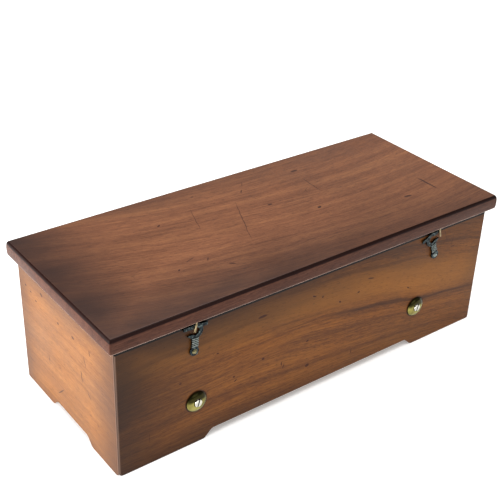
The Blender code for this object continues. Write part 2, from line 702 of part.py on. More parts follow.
def worm_thread(name, length, root, crest, lead, crest_angle):
    """The cross-section carried up in small steps and turned one turn each lead."""
    around = 12
    steps = round(length / lead * around)
    shape = bmesh.new()
    rings = []
    for step in range(steps + 1):
        twist = math.tau * step / around
        ring = []
        for i in range(around):
            angle = math.tau * i / around
            radius = thread_radius(angle - twist - crest_angle, root, crest)
            height = lead * step / around
            ring.append(shape.verts.new((radius * math.cos(angle), radius * math.sin(angle), height)))
        rings.append(ring)
    for low, high in zip(rings, rings[1:]):
        for i in range(around):
            j = (i + 1) % around
            shape.faces.new((low[i], low[j], high[j], high[i]))
    shape.faces.new(rings[0][::-1])
    shape.faces.new(rings[-1])
    bmesh.ops.triangulate(shape, faces=shape.faces)
    mesh = bpy.data.meshes.new(name)
    shape.to_mesh(mesh)
    shape.free()
    return add_object(name, mesh)


def make_governor():
    z = governor_z()
    wheel_radius = WORM_WHEEL_TEETH * FINE_MODULE / 2
    spindle_y = GOVERNOR_Y + wheel_radius + WORM_RADIUS
    arbor, spindle = 0.0015, 0.0012
    top_low, top_high = 0.101, 0.104

    frame = box("governor_frame", (0.112, 0.022, STAND), (0.140, 0.058, STAND + 0.0035), BRASS)
    fuse(frame, box("near_cheek", (0.112, 0.0245, STAND + 0.001), (0.115, 0.0355, z + 0.0055)))
    cheek = [(0.0245, STAND + 0.001), (0.052, STAND + 0.001), (0.052, top_high), (0.038, top_high)]
    cheek += [(0.038, z + 0.0055), (0.0245, z + 0.0055)]
    fuse(frame, plate("far_cheek", [cheek], 0.003, (0.1372, 0, 0), "right"))
    fuse(frame, box("top_arm", (0.119, 0.038, top_low), (0.139, 0.050, top_high - 0.0002)))
    cut(frame, rod("arbor_bore", (0.100, GOVERNOR_Y, z), 0.050, arbor + GAP, "right", sides=12))
    cut(frame, rod("spindle_bore", (GOVERNOR_X, spindle_y, 0.050), 0.060, spindle + GAP, "up", sides=12))

    shaft = rod("governor_arbor", (0.1032, GOVERNOR_Y, z), 0.0368, arbor, "right", STEEL, 12)
    reach = math.degrees(math.atan2(z - AXIS_Z, GOVERNOR_Y - CYLINDER_Y))
    leaves = gear_outline(GOVERNOR_TEETH, FINE_MODULE, reach + 180 + 180 / GOVERNOR_TEETH, 0.46, 0.22)
    fuse(shaft, plate("governor_pinion", [leaves], 0.0046, (0.1037, GOVERNOR_Y, z), "right"))
    rim = gear_outline(WORM_WHEEL_TEETH, FINE_MODULE, 0, 0.42, 0.16)
    wheel = plate("worm_wheel", [rim, circle(0, 0, arbor + GAP, 12)], 0.002,
                  (GOVERNOR_X - 0.001, GOVERNOR_Y, z), "right", BRASS)
    hang(pivot("governor_axis", (GOVERNOR_X, GOVERNOR_Y, z)), shaft, wheel)

    lead = math.pi * FINE_MODULE
    half_worm = 2 * lead
    rod_start = (GOVERNOR_X, spindle_y, STAND + 0.0007)
    upright = rod("worm_spindle", rod_start, top_high - rod_start[2], spindle, "up", STEEL, 12)
    thread = worm_thread("worm", 2 * half_worm, WORM_RADIUS - 0.0010, WORM_RADIUS + 0.0007, lead,
                         math.pi / 2 - math.tau * half_worm / lead)
    thread.location = (GOVERNOR_X, spindle_y, z - half_worm)
    fuse(upright, thread)
    fly = box("fly_fan", (GOVERNOR_X - 0.009, spindle_y - 0.0004, 0.084),
              (GOVERNOR_X + 0.009, spindle_y + 0.0004, 0.096), BRASS)
    fuse(fly, rod("fly_hub", (GOVERNOR_X, spindle_y, 0.086), 0.008, 0.0026, "up", sides=12))
    cut(fly, rod("fly_bore", (GOVERNOR_X, spindle_y, 0.080), 0.020, spindle + GAP, "up", sides=12))
    hang(pivot("fly_axis", (GOVERNOR_X, spindle_y, z)), upright, fly)


# ---------------------------------------------------------------- controls
def make_controls():
    wall = RIGHT_PARTITION_X + PARTITION / 2 + GAP
    box("control_bracket", (wall, -0.045, 0.070), (wall + 0.004, 0.015, 0.098), BRASS)
    for name, y in (("start_lever", -0.030), ("change_lever", 0.0)):
        foot = (y, AXIS_Z)
        head = (y, AXIS_Z + 0.034)
        start = wall + 0.0075
        lever = plate(name, [finger(foot, head, 0.0055, 0.0028)], 0.003, (start, 0, 0), "right", STEEL)
        fuse(lever, rod(name + "_stud", (wall + 0.004 + GAP, *foot), 0.005, 0.003, "right", sides=12))
        fuse(lever, rod(name + "_tip", (start - 0.001, *head), 0.012, 0.005, "right", sides=16))
        hang(pivot(name + "_axis", (start, *foot)), lever)


make_case()
make_lid()
make_hinge("left", -HINGE_X)
make_hinge("right", HINGE_X)
make_hook("left", HOOK_X[0], HOOK_LEAN[0], -1)
make_hook("right", HOOK_X[1], HOOK_LEAN[1], 1)
for side_name, screw_x in zip(("left", "right"), CASE_SCREW_X):
    make_case_screw(side_name, screw_x, True)
    make_case_screw(side_name, screw_x, False)
make_bedplate()
make_comb()
make_cylinder()
make_barrel()
make_winding()
make_governor()
make_controls()
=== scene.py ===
# %% [markdown]
# # A wind up music box
# The box is a long case of stained hardwood on four bracket feet, with a hinged lid, two blued
# steel hooks, and domed brass cup washers front and rear. Inside it is a clockwork movement: a
# spring barrel, a pinned brass cylinder, a steel comb and a small fan that keeps the speed.
# The working model is loaded first and stays as it is. This lesson gives it its surfaces, and
# remakes the pieces whose fine shape the eye looks for: the lid's moulded edge, the eased edges of
# the boards, hooks and plates, the cup washers, the slotted screws and the two brass tubes. It adds
# the ribs of the hooks and the cylinder's pins.

# %% Load the working model
import math
import random

import bpy
from mathutils import Matrix, Vector


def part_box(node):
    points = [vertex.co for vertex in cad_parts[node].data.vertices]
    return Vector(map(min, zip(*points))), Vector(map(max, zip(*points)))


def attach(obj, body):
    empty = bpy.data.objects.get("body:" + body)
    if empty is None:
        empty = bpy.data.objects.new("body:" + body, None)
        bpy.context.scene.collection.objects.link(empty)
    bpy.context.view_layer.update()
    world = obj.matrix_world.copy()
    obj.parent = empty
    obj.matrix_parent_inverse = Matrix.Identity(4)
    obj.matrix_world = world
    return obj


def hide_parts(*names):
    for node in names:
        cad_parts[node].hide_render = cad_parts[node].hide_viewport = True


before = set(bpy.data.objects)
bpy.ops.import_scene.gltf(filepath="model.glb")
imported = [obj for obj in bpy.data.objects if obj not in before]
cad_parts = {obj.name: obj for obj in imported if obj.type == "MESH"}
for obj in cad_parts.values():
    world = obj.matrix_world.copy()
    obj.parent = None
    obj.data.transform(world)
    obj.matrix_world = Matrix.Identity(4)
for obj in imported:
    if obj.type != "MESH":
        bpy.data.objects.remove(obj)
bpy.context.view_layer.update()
MM = 0.001

# %% [markdown]
# ## The camera
# A long box shows best from above and to one side, through a fairly long lens, so that its edges
# hardly converge. The direction is given by a turn about the vertical, a tilt downwards and a small
# roll, and the camera's axes are worked out from them.

# %% Camera
CAMERA_PLACE = Vector((-0.5378, -0.6747, 0.6242))
CAMERA_TURN, CAMERA_TILT, CAMERA_ROLL = 0.6566, 0.5329, 0.0356  # in radians
LENS, FILM_WIDTH = 71.58, 36  # in mm
NEAREST = 0.01


def camera_axes(turn, tilt, roll):
    """The directions of the camera's X, Y and Z axes."""
    ahead = Vector((math.sin(turn) * math.cos(tilt), math.cos(turn) * math.cos(tilt), -math.sin(tilt)))
    right = Vector((math.cos(turn), -math.sin(turn), 0))
    up = right.cross(ahead)
    across = right * math.cos(roll) + up * math.sin(roll)
    return across, -right * math.sin(roll) + up * math.cos(roll), -ahead


bpy.ops.object.camera_add(location=CAMERA_PLACE)
camera = bpy.context.object
camera.name = "camera"
axes = Matrix(camera_axes(CAMERA_TURN, CAMERA_TILT, CAMERA_ROLL)).transposed()
camera.matrix_world = Matrix.Translation(CAMERA_PLACE) @ axes.to_4x4()
camera.data.lens = LENS
camera.data.sensor_width = FILM_WIDTH
camera.data.clip_start = NEAREST
bpy.context.scene.camera = camera
bpy.context.scene.view_settings.view_transform = "Standard"
print("camera at", [round(c, 3) for c in camera.location])

# %% [markdown]
# ## Adding nodes
# Every finish below is a small network of nodes. One function adds a node, sets it up and joins
# it to the nodes before it. An input takes a plain number, a colour or the output of another node.
# Colours are written as sRGB hex values, as a painter would note them, and turned to linear once.


# %% Node and colour helpers
def colour(code):
    """Linear red, green, blue and alpha from an sRGB hex code."""
    channels = [int(code[i:i + 2], 16) / 255 for i in (1, 3, 5)]
    linear = [c / 12.92 if c <= 0.04045 else ((c + 0.055) / 1.055) ** 2.4 for c in channels]
    return (*linear, 1.0)


def add(tree, kind, inputs=(), out=0, stops=(), **settings):
    """Adds a node and gives one of its outputs. inputs holds the sockets' values in order, or by name
    or number, and stops the (place, hex colour) stops of a colour ramp."""
    made = tree.nodes.new("ShaderNode" + kind)
    for name, value in settings.items():
        setattr(made, name, value)
    for key, value in (inputs if isinstance(inputs, dict) else dict(enumerate(inputs))).items():
        if isinstance(value, bpy.types.NodeSocket):
            tree.links.new(value, made.inputs[key])
        else:
            made.inputs[key].default_value = value
    for number, (place, code) in enumerate(stops):
        points = made.color_ramp.elements
        point = points[number] if number < 2 else points.new(place)
        point.position, point.color = place, colour(code)
    return made.outputs[out]


BLEND = {"data_type": "RGBA", "out": 2}
TIMES = {"data_type": "RGBA", "out": 2, "blend_type": "MULTIPLY"}
FACTOR, FIRST, SECOND = 0, 6, 7  # the colour sockets of a Mix node
SOFTLY = {"interpolation_type": "SMOOTHSTEP"}


def new_material(name):
    """A new material, its nodes and its main shader."""
    finish = bpy.data.materials.new(name)
    finish.use_nodes = True
    return finish, finish.node_tree, finish.node_tree.nodes["Principled BSDF"]


def streaks_of(tree, place, along, across, detail=2.0, ragged=0.5):
    """A cloudy pattern whose spots are so many millimetres long and wide."""
    scale = (1000 / along, 1000 / across, 1000 / across)
    stretched = add(tree, "Mapping", {"Vector": place, "Scale": scale})
    return add(tree, "TexNoise", {"Vector": stretched, "Scale": 1.0, "Detail": detail, "Roughness": ragged})


print("node helpers ready; mid grey is", round(colour("#808080")[0], 3), "in linear light")

# %% [markdown]
# ## Floor and light
# The floor is a plain pale sheet on a light table, which glows a little and so softens the shadow.
# A broad softbox stands low on the left and makes the left end the brightest side, a second one
# hangs overhead, and a weaker one near the camera opens up the front.
# The surroundings are a mid grey: if they were white, the varnish would mirror them and look milky.

# %% Floor, softboxes and surroundings
FLOOR_SIZE, FLOOR_GLOW = 14, 0.3
SURROUNDING_LIGHT = 0.42
bpy.ops.mesh.primitive_plane_add(size=FLOOR_SIZE, location=(0, 0, 0))
floor = bpy.context.object
floor.name = "floor"
floor_finish, tree, shader = new_material("white paper sweep")
grain = add(tree, "TexNoise", {"Scale": 40.0})
tint = add(tree, "ValToRGB", [grain], stops=[(0.3, "#EDEDEC"), (0.7, "#F2F2F1")])
tree.links.new(tint, shader.inputs["Base Color"])
tree.links.new(tint, shader.inputs["Emission Color"])
shader.inputs["Emission Strength"].default_value = FLOOR_GLOW
shader.inputs["Roughness"].default_value = 0.9
shader.inputs["Specular IOR Level"].default_value = 0.1
floor.data.materials.append(floor_finish)


def softbox(name, place, aim, size, power):
    """A rectangular lamp at a place, aimed at a point. Sizes are in metres and power is in watts."""
    bpy.ops.object.light_add(type="AREA", location=place)
    lamp = bpy.context.object
    lamp.name = name
    lamp.data.shape = "RECTANGLE"
    lamp.data.size, lamp.data.size_y = size
    lamp.data.energy = power
    lamp.rotation_euler = (Vector(aim) - Vector(place)).to_track_quat("-Z", "Y").to_euler()


softbox("key_softbox", (-2.2, 0.15, 0.5), (-0.2, 0, 0.08), (1.4, 0.9), 100)
softbox("top_softbox", (0.2, -0.2, 2.6), (0, 0, 0), (2.6, 2.6), 82)
softbox("fill_softbox", (0.3, -2.4, 0.9), (0, 0, 0.1), (1.6, 1.0), 7)
world = bpy.data.worlds.new("studio")
bpy.context.scene.world = world
world.use_nodes = True
world.node_tree.nodes["Background"].inputs["Color"].default_value = colour("#FFFFFF")
world.node_tree.nodes["Background"].inputs["Strength"].default_value = SURROUNDING_LIGHT

# %% [markdown]
# ## The lie of the grain
# The case is a fruitwood or walnut. Wood is long streaks, so every pattern here is stretched along
# the grain, which runs the long way of each board. A board is sawn from a curved tree, so its grain
# bows a little, which a parabola gives, and drifts from side to side, which a slow noise gives.


# %% Places on a board
GRAIN_ORDER = {"lid": "XYZ", "face": "XZY", "end": "YZX"}  # along the grain, across it, into the board
DRIFT_SPOT, DRIFT_DETAIL, DRIFT_REACH = (220, 60), 1.0, 4  # spots and reach in mm


def on_board(tree, order, bow, bow_centre):
    """A place on the board as a straight point, a point that follows the grain, its distance along
    the board, its distance across it, and its distance across the bent grain. bow is the parabola's
    factor per metre, and bow_centre the place along the board where it turns, in metres."""
    split = add(tree, "SeparateXYZ", [add(tree, "TexCoord", out="Object")]).node
    along, across, deep = [split.outputs[letter] for letter in order]
    straight = add(tree, "CombineXYZ", (along, across, deep))
    offset = add(tree, "Math", (along, bow_centre), operation="SUBTRACT")
    squared = add(tree, "Math", (offset, offset), operation="MULTIPLY")
    bent = add(tree, "Math", (squared, bow, across), operation="MULTIPLY_ADD")
    slow = streaks_of(tree, straight, *DRIFT_SPOT, DRIFT_DETAIL)
    drift = add(tree, "MapRange", (slow, 0.3, 0.7, -DRIFT_REACH * MM, DRIFT_REACH * MM))
    bent = add(tree, "Math", (bent, drift), operation="ADD")
    return straight, add(tree, "CombineXYZ", (along, bent, deep)), along, across, bent


def shaken(tree, place, spot, reach):
    """Moves a place about by up to half a reach in millimetres, over spots of a size."""
    cloud = add(tree, "TexNoise", {"Vector": place, "Scale": 1000 / spot, "Detail": 1.0}, "Color")
    reach_m = reach * MM
    centring = (-reach_m / 2,) * 3
    moved = add(tree, "VectorMath", (cloud, (reach_m,) * 3, centring), operation="MULTIPLY_ADD")
    return add(tree, "VectorMath", (place, moved), operation="ADD")


print("the grain runs along", {board: order[0] for board, order in GRAIN_ORDER.items()})

# %% [markdown]
# ## Stain and painted shade that darken towards the edges
# Each board is darker round its border. Part of this is extra stain that the maker brushed on, so
# that the box looks old, and part is painted shade under the lid's overhang. The darkening is broad
# and soft, a cloud breaks it up, and on this box it is weaker towards the right.


# %% Shaded border
FADE_REACH = 200  # the shading fades from this far left of the middle to this far right of it, in mm
CLOUD_SPOT = (70, 35)


# The darker border is partly stain and partly painted shade under the lid's overhang.
def border_stain_and_painted_shade(tree, straight, along, across, ends, sides, fade):
    """1 at a board's edges and 0 inside. ends and sides are (centre, half width, soft width) in mm."""
    parts = []
    for value, (centre, half, soft) in ((along, ends), (across, sides)):
        away = add(tree, "Math", (value, centre * MM), operation="SUBTRACT")
        away = add(tree, "Math", [away], operation="ABSOLUTE")
        parts.append(add(tree, "MapRange", (away, (half - soft) * MM, half * MM), **SOFTLY))
    weaker = add(tree, "MapRange", (along, -FADE_REACH * MM, FADE_REACH * MM, 1.0, fade), **SOFTLY)
    parts[1] = add(tree, "Math", (parts[1], weaker), operation="MULTIPLY")
    both = add(tree, "Math", parts, operation="MAXIMUM")
    cloud = streaks_of(tree, straight, *CLOUD_SPOT)
    cloud = add(tree, "MapRange", (cloud, 0.3, 0.65, 0.85, 1.05), **SOFTLY)
    return add(tree, "Math", (both, cloud), operation="MULTIPLY")


print("the shading fades over", 2 * FADE_REACH, "mm")

# %% [markdown]
# ## Dents, scratches and dark streaks
# A new box was knocked and scratched on purpose to look used. Each dent or scratch is a dark oval,
# placed in millimetres and made ragged by shaking its place. A dark mineral streak in the
# wood is a very long oval that follows the grain.


# %% Dents and streaks
def oval(tree, place, along, across, length, width, turn, solid=0.45, clear=0.7):
    """1 inside an oval and 0 outside it, in millimetres and degrees. solid and clear say where it
    begins to fade and where it ends, as shares of its length and width from its middle."""
    inputs = {"Vector": place, "Location": (along * MM, across * MM, 0),
              "Rotation": (0, 0, math.radians(turn)), "Scale": (length * MM, width * MM, 10.0)}
    inside = add(tree, "Mapping", inputs, vector_type="TEXTURE")
    away = add(tree, "VectorMath", [inside], "Value", operation="LENGTH")
    return add(tree, "MapRange", (away, solid, clear, 1.0, 0.0), **SOFTLY)


def all_dents(tree, place, dents):
    """1 in the dents and 0 between them. Dents under a millimetre wide are as much fainter."""
    deepest = 0.0
    for dent in dents:
        depth = add(tree, "Math", (oval(tree, place, *dent), min(1.0, dent[3])), operation="MULTIPLY")
        deepest = add(tree, "Math", (deepest, depth), operation="MAXIMUM")
    return deepest


print("ovals for dents and streaks ready")

# %% [markdown]
# ## Stained and varnished hardwood
# The wood is stained a warm brown and finished with a satin varnish. Broad bands of a centimetre,
# fine lines of a millimetre and short fibres are added up to one shade, which a ramp turns into
# light and dark wood. Short dark pores lie in it, and the varnish sinks into them a little.


# %% Wood
BANDS, LINES = (300, 8), (60, 1.5, 3.0, 0.6)  # length and width in mm, detail and raggedness
FIBRES, PORES = (9, 0.9, 3.0, 0.7), (6, 0.8, 2.0, 0.6)
BLOTCHES = (60, 45)
STREAK_BROWN, DENT_BROWN = "#2A140A", "#2A0D05"
SATIN, VARNISH_IOR = (0.36, 0.48), 1.42
RELIEF_STRENGTH, RELIEF_HEIGHT = 0.35, 0.12  # the height in mm


def stained_wood(name, order, tones, bow, ends, sides, edge, gloss, dents=(), pale_band=None,
                 streaks=(), wear_and_painted_light=None, fade=1.0):
    """A wood finish. tones are its dark, middle and light colours, and edge the colour and strength of
    the darker border, which is partly stain and partly painted shade. pale_band is a place across the
    grain, a half width and a colour. wear_and_painted_light is a function that adds worn places,
    painted shade and painted highlights to the colour, and fade the border's strength on the right."""
    finish, tree, shader = new_material(name)
    straight, place, along, across, bent = on_board(tree, order, *bow)
    bands, lines, fibres, pores = [streaks_of(tree, place, *size) for size in (BANDS, LINES, FIBRES, PORES)]
    shade = 0.0
    for layer, share in ((bands, 0.26), (lines, 0.32), (fibres, 0.42)):
        shade = add(tree, "Math", (layer, share, shade), operation="MULTIPLY_ADD")
    tint = add(tree, "ValToRGB", [shade], stops=[(0.38, tones[0]), (0.50, tones[1]), (0.62, tones[2])])
    if pale_band:
        centre, half, code = pale_band
        away = add(tree, "Math", (bent, centre * MM), operation="SUBTRACT")
        away = add(tree, "Math", [away], operation="ABSOLUTE")
        share = add(tree, "MapRange", (away, 0.2 * half * MM, half * MM, 0.6, 0.0), **SOFTLY)
        tint = add(tree, "Mix", {FACTOR: share, FIRST: tint, SECOND: colour(code)}, **BLEND)
    clouds = streaks_of(tree, straight, *BLOTCHES)
    pore = add(tree, "MapRange", (pores, 0.28, 0.43, 0.52, 1.03), **SOFTLY)
    cloud = add(tree, "MapRange", (clouds, 0.3, 0.7, 0.90, 1.08), **SOFTLY)
    for grey in (pore, cloud):
        tint = add(tree, "Mix", {FACTOR: 1.0, FIRST: tint, SECOND: grey}, **TIMES)
    # the darker border: partly stain, partly painted shade under the lid's overhang
    rim = border_stain_and_painted_shade(tree, straight, along, across, ends, sides, fade)
    rim = add(tree, "Math", (rim, edge[1]), operation="MULTIPLY")
    tint = add(tree, "Mix", {FACTOR: rim, FIRST: tint, SECOND: colour(edge[0])}, **BLEND)
    wavy = shaken(tree, place, 60, 7) if streaks else place
    for *shape, strength in streaks:
        streak = add(tree, "Math", (oval(tree, wavy, *shape, 0.15, 0.6), strength), operation="MULTIPLY")
        tint = add(tree, "Mix", {FACTOR: streak, FIRST: tint, SECOND: colour(STREAK_BROWN)}, **BLEND)
    pits = all_dents(tree, shaken(tree, straight, 16, 3), dents)
    dark = add(tree, "Math", (pits, 0.85), operation="MULTIPLY")
    tint = add(tree, "Mix", {FACTOR: dark, FIRST: tint, SECOND: colour(DENT_BROWN)}, **BLEND)
    # worn places, painted shade and painted highlights
    if wear_and_painted_light:
        tint = wear_and_painted_light(tree, tint, straight)
    tree.links.new(tint, shader.inputs["Base Color"])
    rough = add(tree, "MapRange", (clouds, 0.3, 0.7, *SATIN))
    tree.links.new(rough, shader.inputs["Roughness"])
    shader.inputs["IOR"].default_value = VARNISH_IOR
    shader.inputs["Specular IOR Level"].default_value = gloss
    height = add(tree, "Math", (pore, 0.6, lines), operation="MULTIPLY_ADD")
    height = add(tree, "Math", (pits, -0.8, height), operation="MULTIPLY_ADD")
    relief = {"Height": height, "Strength": RELIEF_STRENGTH, "Distance": RELIEF_HEIGHT * MM}
    bump = add(tree, "Bump", relief)
    tree.links.new(bump, shader.inputs["Normal"])
    return finish


print("grain in mm: bands", BANDS, "lines", LINES[:2], "fibres", FIBRES[:2], "pores", PORES[:2])

# %% [markdown]
# ## Wear and painted light at the arrises
# On the lid's moulding, a near-black line of painted shade lies under the top arris, and a pale
# painted highlight runs along the lower arris. On the case, the four upright corners are rubbed thin,
# a black line of painted shadow lies below the lid, and a dark ring is painted round each cup washer.
# The same place in the model gives nearly all of these, as a distance from the border and a height.


# %% Wear
LID_HALF_LENGTH, LID_HALF_DEPTH = 231.5, 97  # all in mm
CASE_HALF_LENGTH, CASE_HALF_DEPTH = 225, 90.5
# the height of the painted shadow line under the lid's overhang
SHADOW_LINE_HEIGHT = 133.5
CUP_X, CUP_HEIGHT, CUP_RING = (-142.8, 133), 48.5, 11.9
# a near-black line of painted shade under the lid's top arris, and a pale painted highlight along its lower
# arris
ARRIS_SHADE_BLACK, ARRIS_HIGHLIGHT_PALE = "#140504", "#DCBFAF"
# the rubbed corners' colour, and the black of the painted shadow line and of the rings round the cups
RUBBED_CORNER, SHADOW_AND_RING_BLACK = "#6E5A50", "#0A0403"


def beyond_border(tree, half_length, half_width):
    """How far outside (or, negative, inside) two borders a point is, and its height, in metres."""
    split = add(tree, "SeparateXYZ", [add(tree, "TexCoord", out="Object")]).node
    beyond = []
    for letter, half in (("X", half_length), ("Y", half_width)):
        away = add(tree, "Math", [split.outputs[letter]], operation="ABSOLUTE")
        beyond.append(add(tree, "Math", (away, half * MM), operation="SUBTRACT"))
    return *beyond, split.outputs["Z"]


def lid_edge_shade_and_highlight(tree, tint, straight):
    """Painted shade under the top arris, and a painted highlight along the lower arris, broken into
    patches.
    """
    over_x, over_y, height = beyond_border(tree, LID_HALF_LENGTH, LID_HALF_DEPTH)
    over = add(tree, "Math", (over_x, over_y), operation="MAXIMUM")
    # painted shade: a near-black line under the top arris
    band = add(tree, "MapRange", (over, -3.9 * MM, -2.5 * MM, 0.0, 0.95), **SOFTLY)
    upper = add(tree, "MapRange", (height, 150.3 * MM, 151.6 * MM), **SOFTLY)
    dark = add(tree, "Math", (band, upper), operation="MULTIPLY")
    tint = add(tree, "Mix", {FACTOR: dark, FIRST: tint, SECOND: colour(ARRIS_SHADE_BLACK)}, **BLEND)
    # painted highlight: a pale line along the lower arris, broken into patches
    highlight_patches = add(tree, "MapRange", (streaks_of(tree, straight, 35, 35), 0.3, 0.6, 0.4, 0.85), **SOFTLY)
    lower = add(tree, "MapRange", (height, 139.0 * MM, 139.9 * MM, 1.0, 0.0), **SOFTLY)
    outer = add(tree, "MapRange", (over, -2.4 * MM, -1.6 * MM), **SOFTLY)
    share = add(tree, "Math", (lower, highlight_patches), operation="MULTIPLY")
    share = add(tree, "Math", (share, outer), operation="MULTIPLY")
    return add(tree, "Mix", {FACTOR: share, FIRST: tint, SECOND: colour(ARRIS_HIGHLIGHT_PALE)}, **BLEND)


def case_wear_and_painted_shade(tree, tint, straight):
    """Upright corners that are rubbed thin, a black line of painted shadow below the lid, and a dark ring
    painted round each cup.
    """
    over_x, over_y, height = beyond_border(tree, CASE_HALF_LENGTH, CASE_HALF_DEPTH)
    corner = add(tree, "Math", (over_x, over_y), operation="MINIMUM")
    rubbed = add(tree, "MapRange", (corner, -2.7 * MM, -1.5 * MM, 0.0, 0.55), **SOFTLY)
    tint = add(tree, "Mix", {FACTOR: rubbed, FIRST: tint, SECOND: colour(RUBBED_CORNER)}, **BLEND)
    # painted shadow: a black line on the long boards just below the lid's overhang
    away = add(tree, "Math", (height, SHADOW_LINE_HEIGHT * MM), operation="SUBTRACT")
    away = add(tree, "Math", [away], operation="ABSOLUTE")
    line = add(tree, "MapRange", (away, 1.1 * MM, 1.8 * MM, 1.0, 0.0), **SOFTLY)
    long_side = add(tree, "MapRange", (over_y, -1.2 * MM, -0.6 * MM), **SOFTLY)
    blackening = add(tree, "Math", (line, long_side), operation="MULTIPLY")
    # a dark ring painted round each cup washer
    for across in CUP_X:
        ring = oval(tree, straight, across, CUP_HEIGHT, CUP_RING, CUP_RING, 0, 0.93, 1.05)
        blackening = add(tree, "Math", (ring, 0.8, blackening), operation="MULTIPLY_ADD", use_clamp=True)
    return add(tree, "Mix", {FACTOR: blackening, FIRST: tint, SECOND: colour(SHADOW_AND_RING_BLACK)}, **BLEND)


print("dirt rings at", [(across, CUP_HEIGHT) for across in CUP_X], "mm")

# %% [markdown]
# ## The box's own woods
# Each board has its own tone, border and marks. The lid's grain bows most, and along the front's
# a dark streak runs from the right end to the middle.
# Marks are (along, across, length, width, turn), in millimetres and degrees.

# %% Marks and woods
LID_DENTS = [
    (-61, 33, 37, 0.7, 70), (-23, 6, 66, 0.8, 66), (-53, 50, 9, 0.6, -10), (19, 18, 4.5, 2.4, 0),
    (58, -14, 4.5, 2.6, 20), (-79, -54, 5.5, 1.8, -35), (-126, -37, 3, 1.6, 40), (-108, -28, 9, 0.8, 20),
    (-93, -35, 4.5, 1.0, 55), (88, 65, 8, 2.4, 0), (189, -35, 26, 2.0, 92), (151, -46, 8, 3.0, -10),
    (-37, 74, 3, 1.6, 0), (-98, 42, 4, 1.6, 30), (12, 57, 5, 1.2, 45), (22, 70, 9, 0.7, 50),
    (83, 30, 26, 0.9, 88), (70, 23, 14, 0.6, 30), (-5, 8, 8, 0.6, -12), (15, 8, 9, 0.6, 10),
]
FRONT_DENTS = [
    (-12, 33, 4.2, 3.4, 0), (-67, 65, 2.6, 2.2, 0), (-101, 58, 2.4, 1.6, 0), (-99, 53, 3.0, 1.4, 40),
    (25, 94, 3.0, 1.8, -40), (49, 97, 2.8, 1.6, 0), (-9, 113, 4.5, 1.4, -30), (-70, 113, 9, 2.4, 0),
    (64, 107, 7, 1.2, -8), (179, 107, 6, 1.0, 0), (-193, 30, 9, 0.6, 88), (-14, 64, 3.0, 1.6, 20),
    (2, 108, 2.2, 1.4, 0), (46, 26, 4, 0.9, 90), (-45, 49, 4, 1.2, 100), (-42, 45, 4, 1.0, 70),
    (166, 124, 16, 0.6, 115), (178, 116, 15, 0.6, 80), (120, 76, 3.2, 1.4, -30), (-120, 92, 3, 1.2, 0),
    (-160, 75, 2.4, 1.4, 0),
]
FRONT_STREAKS = [  # with a last figure for strength
    (100, 89, 300, 5, 0, 0.62), (150, 89, 180, 12, 0, 0.25), (-40, 44, 240, 6, 0, 0.3),
    (60, 131, 260, 6, 0, 0.3), (-130, 110, 180, 7, 0, 0.3), (40, 71, 300, 6, 0, 0.25),
    (170, 146, 140, 5, 0, 0.35),
]
END_DENTS = [
    (-38, 95, 9, 1.0, 80), (-31, 74, 11, 1.1, 82), (-43, 60, 7, 1.2, 45), (41, 122, 4, 2.4, 30),
    (75, 115, 3, 2.0, 0), (64, 113, 3, 1.6, 0), (10, 108, 3, 2.2, 0), (-18, 109, 4, 2.0, 0),
    (15, 27, 15, 1.0, -40), (35, 53, 6, 1.0, 80), (54, 108, 3, 1.6, 0), (-48, 110, 5, 1.2, 80),
]
lid_wood = stained_wood(
    "stained hardwood, lid", GRAIN_ORDER["lid"], ("#532F1B", "#6A4028", "#7D5031"), (-0.55, 0.10),
    (60, 291, 100), (22, 119, 85), ("#24110B", 0.92), 0.38, LID_DENTS, fade=0.45)
# the moulding's own darker tone, with painted shade under its top arris and a painted highlight along its
# lower arris
lid_edge_wood = stained_wood(
    "stained hardwood, dark waxed moulding", GRAIN_ORDER["lid"], ("#38211A", "#482C22", "#58382B"),
    (0.0, 0.0), (0, 900, 10), (0, 900, 10), ("#26120C", 0.2), 0.1, wear_and_painted_light=lid_edge_shade_and_highlight)
# front_wood and end_wood carry painted shade under the lid in their darker border; the long boards also
# carry a painted shadow line below it
front_wood = stained_wood(
    "stained hardwood, long boards", GRAIN_ORDER["face"], ("#4C2A10", "#673B15", "#7D4C1B"), (0.31, -0.16),
    (33, 259, 110), (62, 74, 60), ("#1C0E09", 0.85), 0.16, FRONT_DENTS, (114, 26, "#87551F"), FRONT_STREAKS,
    case_wear_and_painted_shade, 0.4)
end_wood = stained_wood(
    "stained hardwood, ends", GRAIN_ORDER["end"], ("#643E1F", "#794D28", "#8A5D31"), (0.10, 0.0),
    (4, 96, 54), (64, 84, 48), ("#43291B", 0.82), 0.2, END_DENTS, wear_and_painted_light=case_wear_and_painted_shade)
print("woods:", ", ".join(m.name for m in (lid_wood, lid_edge_wood, front_wood, end_wood)))

# %% [markdown]
# ## Metals
# Brass here is old and a little green on the outside and lacquered on the movement. Steel is
# polished on the screws and brushed on the levers. The hooks are blued, which leaves a dark
# grey-blue skin that wears bright on the corners.
# Each keeps a metal's own reflection, and a noise varies its colour and gloss as handling does.
# The upper half of each cup washer is painted dark: a painted reflection.


# %% Metals
FINE_SPOT = 0.7  # in mm
REFLECTION_SHAKE = (6, 3)  # spot and reach in mm


